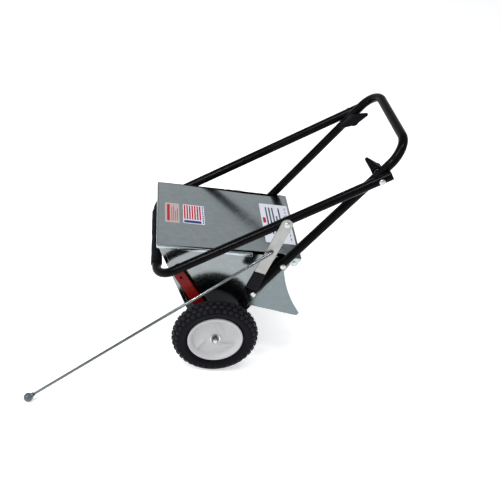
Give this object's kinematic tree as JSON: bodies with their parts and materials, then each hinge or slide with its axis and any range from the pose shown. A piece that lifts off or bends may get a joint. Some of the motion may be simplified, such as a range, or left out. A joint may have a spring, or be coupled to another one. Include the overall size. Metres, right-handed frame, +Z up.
{
  "type": "garden spreader",
  "caption": "Walk-behind drop spreader: flared sheet-metal hopper with a lid, shutter and agitator, on two wheels, with a folding tube handle and a flat control lever.",
  "frame": {"origin": "centre of the outlet plate's underside, straight below the axle", "axes": "+X to the rear, towards the operator; +Y to the operator's right; +Z up, square to the lid"},
  "size_m": [0.9281, 0.6597, 0.7936],
  "materials": {
    "galvanised": "bright galvanised sheet with a soft spangle",
    "zinc": "bright zinc plate",
    "black_paint": "glossy black powder coat",
    "red_paint": "dark red gloss paint",
    "black_plastic": "moulded black plastic",
    "nylon": "matt black nylon",
    "foam": "closed-cell black foam",
    "vinyl": "soft black dipped vinyl",
    "ball_plastic": "dark grey moulded plastic",
    "hub_plastic": "white moulded plastic",
    "tyre": "black moulded rubber",
    "brass": "plain turned brass"
  },
  "bodies": {
    "chassis": {"front_panel": "galvanised", "rear_panel": "galvanised", "left_side_plate": "galvanised", "right_side_plate": "galvanised", "bottom_plate": "galvanised", "left_heel_plate": "galvanised", "right_heel_plate": "galvanised", "axle_bearings": "nylon", "bearing_bolts": "zinc", "lever_retainer": "zinc", "shutter_guides": "galvanised", "lid_hinge_pins": "zinc", "lower_handle": "black_paint", "lower_handle_plugs": "black_plastic", "lower_handle_bolts": "zinc", "lower_handle_nuts": "zinc", "fold_bolts": "zinc", "fold_washers": "zinc"},
    "lid": {"lid": "galvanised"},
    "upper_handle": {"upper_handle": "black_paint", "upper_handle_plugs": "black_plastic", "handle_grip": "foam", "lever_bolt": "zinc", "lever_washer": "zinc", "lever_nut": "zinc"},
    "control_lever": {"control_lever": "zinc", "lever_grip": "vinyl"},
    "control_rod": {"control_rod": "zinc", "rod_ball": "ball_plastic", "rod_clip": "zinc"},
    "left_knob": {"left_wing_knob": "black_plastic", "left_knob_insert": "brass"},
    "right_knob": {"right_wing_knob": "black_plastic", "right_knob_insert": "brass"},
    "drive_axle": {"axle": "zinc", "agitator": "zinc", "drive_pin": "zinc", "axle_spacers": "zinc", "axle_washers": "zinc", "axle_nuts": "zinc", "left_hub": "hub_plastic", "left_tyre": "tyre"},
    "free_wheel": {"right_hub": "hub_plastic", "right_tyre": "tyre"},
    "shutoff_lever": {"shutoff_lever": "red_paint", "shutoff_pin": "zinc"},
    "shutter": {"shutter_plate": "galvanised", "shutter_yoke": "galvanised"}
  },
  "joints": [
    {"name": "lid_hinge", "type": "hinge", "parent": "chassis", "child": "lid", "pos_m": [0.192, 0, 0.282], "axis": [0, 1, 0], "range_deg": [0, 90]},
    {"name": "handle_fold", "type": "hinge", "parent": "chassis", "child": "upper_handle", "pos_m": [0.3482, 0, 0.5992], "axis": [0, 1, 0], "range_deg": [0, 156.7]},
    {"name": "control_lever_pivot", "type": "hinge", "parent": "upper_handle", "child": "control_lever", "pos_m": [0.12916, 0, 0.44064], "axis": [0, 1, 0], "range_deg": [-30, 18]},
    {"name": "control_rod_swing", "type": "hinge", "parent": "control_lever", "child": "control_rod", "pos_m": [0.10723, 0, 0.35068], "axis": [0, 1, 0], "range_deg": [-45, 135]},
    {"name": "left_knob_turn", "type": "hinge", "parent": "chassis", "child": "left_knob", "pos_m": [0.3482, 0, 0.5992], "axis": [0, 1, 0], "continuous": true},
    {"name": "right_knob_turn", "type": "hinge", "parent": "chassis", "child": "right_knob", "pos_m": [0.3482, 0, 0.5992], "axis": [0, 1, 0], "continuous": true},
    {"name": "drive_axle_spin", "type": "hinge", "parent": "chassis", "child": "drive_axle", "pos_m": [0, 0, 0.035], "axis": [0, 1, 0], "continuous": true},
    {"name": "free_wheel_spin", "type": "hinge", "parent": "chassis", "child": "free_wheel", "pos_m": [0, 0, 0.035], "axis": [0, 1, 0], "continuous": true},
    {"name": "shutoff_lever_turn", "type": "hinge", "parent": "chassis", "child": "shutoff_lever", "pos_m": [0, 0, 0.035], "axis": [0, 1, 0], "range_deg": [0, 20]},
    {"name": "shutter_slide", "type": "slide", "parent": "chassis", "child": "shutter", "axis": [1, 0, 0], "range_m": [-0.0145, 0]}
  ],
  "couplings": [
    {"joint": "shutter_slide", "follows": "shutoff_lever_turn", "m_per_rad": -0.0413}
  ]
}
